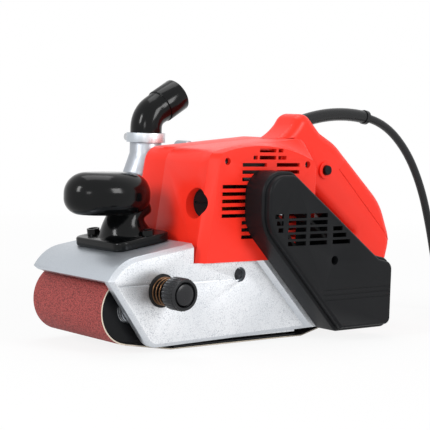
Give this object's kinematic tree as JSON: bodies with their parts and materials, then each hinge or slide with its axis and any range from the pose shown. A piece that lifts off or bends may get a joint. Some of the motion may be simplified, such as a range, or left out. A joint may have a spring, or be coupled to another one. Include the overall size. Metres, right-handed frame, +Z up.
{
  "type": "belt sander",
  "caption": "Hand-held belt sander with a cast frame, sanding belt, red motor housing with a loop handle, front grip, side drive cover and a swivelling dust elbow.",
  "frame": {"origin": "on the floor at the middle of the flat sanding face, halfway between the rollers", "axes": "+X to the rear handle, +Y to the open belt side on the right, +Z up"},
  "size_m": [0.5775, 0.2034, 0.2265],
  "materials": {
    "cast_alloy": "blasted cast alloy",
    "red_plastic": "moulded satin red",
    "black_plastic": "moulded satin black",
    "gloss_black": "moulded gloss black",
    "abrasive_cloth": "coated abrasive cloth",
    "steel": "plain steel",
    "turned_aluminium": "turned",
    "brass": "drawn",
    "copper_wire": "enamelled wire",
    "core_iron": "stacked sheet",
    "graphite": "pressed carbon",
    "fan_plastic": "moulded",
    "cork": "cut cork",
    "rubber": "moulded rubber"
  },
  "bodies": {
    "root": {"frame_casting": "cast_alloy", "fan_case": "cast_alloy", "fan_cover": "cast_alloy", "clamp_ring": "cast_alloy", "motor_housing": "red_plastic", "housing_cap": "red_plastic", "handle_body": "red_plastic", "handle_cover": "red_plastic", "drive_cover": "black_plastic", "brush_caps": "black_plastic", "switch_body": "black_plastic", "brush_holders": "black_plastic", "front_grip": "gloss_black", "sanding_belt": "abrasive_cloth", "shoe_plate": "steel", "shoe_screws": "steel", "tension_spring": "steel", "lever_pin": "steel", "frame_screw": "steel", "drive_bearings": "steel", "motor_bearings": "steel", "housing_screws": "steel", "case_screws": "steel", "tracking_spring": "brass", "plug_pins": "brass", "field_coils": "copper_wire", "field_core": "core_iron", "carbon_brushes": "graphite", "cork_pad": "cork", "drive_belt": "rubber", "cord_boot": "rubber", "cord": "rubber", "cord_coil": "rubber", "cord_tie": "rubber", "plug_body": "rubber", "tracking_seat": "rubber"},
    "tension_slider": {"tension_rod": "steel"},
    "yoke": {"roller_yoke": "steel", "idler_axle": "steel"},
    "idler": {"idler_roller": "turned_aluminium", "idler_bearings": "steel"},
    "drive": {"drive_shaft": "steel", "drive_roller": "turned_aluminium", "roller_sleeve": "rubber", "large_pulley": "turned_aluminium", "drive_nut": "steel"},
    "armature": {"motor_shaft": "steel", "armature_core": "core_iron", "armature_windings": "copper_wire", "commutator": "brass", "cooling_fan": "fan_plastic", "dust_fan": "turned_aluminium", "small_pulley": "turned_aluminium", "motor_nut": "steel"},
    "tracking": {"tracking_knob": "black_plastic", "tracking_screw": "steel"},
    "lever": {"release_lever": "steel"},
    "trigger": {"trigger": "black_plastic"},
    "lock": {"lock_button": "gloss_black"},
    "elbow": {"dust_elbow": "gloss_black"}
  },
  "joints": [
    {"name": "drive_spin", "type": "hinge", "parent": "root", "child": "drive", "pos_m": [0.10899, 0, 0.0359], "axis": [0, 1, 0], "continuous": true},
    {"name": "armature_spin", "type": "hinge", "parent": "root", "child": "armature", "pos_m": [0.023, 0, 0.122], "axis": [0, 1, 0], "continuous": true},
    {"name": "release_lever_swing", "type": "hinge", "parent": "root", "child": "lever", "pos_m": [-0.04, 0.036, 0.0359], "axis": [0, 0, 1], "range_deg": [0, 80]},
    {"name": "tension_slide", "type": "slide", "parent": "root", "child": "tension_slider", "axis": [1, 0, 0], "range_m": [0, 0.008], "deforming": ["tension_spring"]},
    {"name": "tracking_turn", "type": "hinge", "parent": "root", "child": "tracking", "pos_m": [-0.086, -0.08, 0.052], "axis": [0, 1, 0], "range_deg": [-180, 180]},
    {"name": "yoke_tilt", "type": "hinge", "parent": "tension_slider", "child": "yoke", "pos_m": [0, 0, 0.0359], "axis": [1, 0, 0], "range_deg": [-0.5, 0.5]},
    {"name": "idler_spin", "type": "hinge", "parent": "yoke", "child": "idler", "pos_m": [-0.10899, 0, 0.0359], "axis": [0, 1, 0], "continuous": true},
    {"name": "trigger_press", "type": "slide", "parent": "root", "child": "trigger", "axis": [0.6, 0, 0.8], "range_m": [0, 0.005], "stiffness_N_per_m": 800, "springref_m": -0.002},
    {"name": "lock_press", "type": "slide", "parent": "root", "child": "lock", "axis": [0, 1, 0], "range_m": [0, 0.0025], "stiffness_N_per_m": 500, "springref_m": -0.001},
    {"name": "elbow_swivel", "type": "hinge", "parent": "root", "child": "elbow", "pos_m": [-0.021, 0.052, 0.177], "axis": [0, 0, 1], "range_deg": [-180, 180]}
  ],
  "couplings": [
    {"joint": "armature_spin", "follows": "drive_spin", "ratio": 2.2222},
    {"joint": "idler_spin", "follows": "drive_spin", "ratio": 1},
    {"joint": "release_lever_swing", "follows": "tension_slide", "rad_per_m": 174.53},
    {"joint": "tracking_turn", "follows": "yoke_tilt", "ratio": 360}
  ]
}
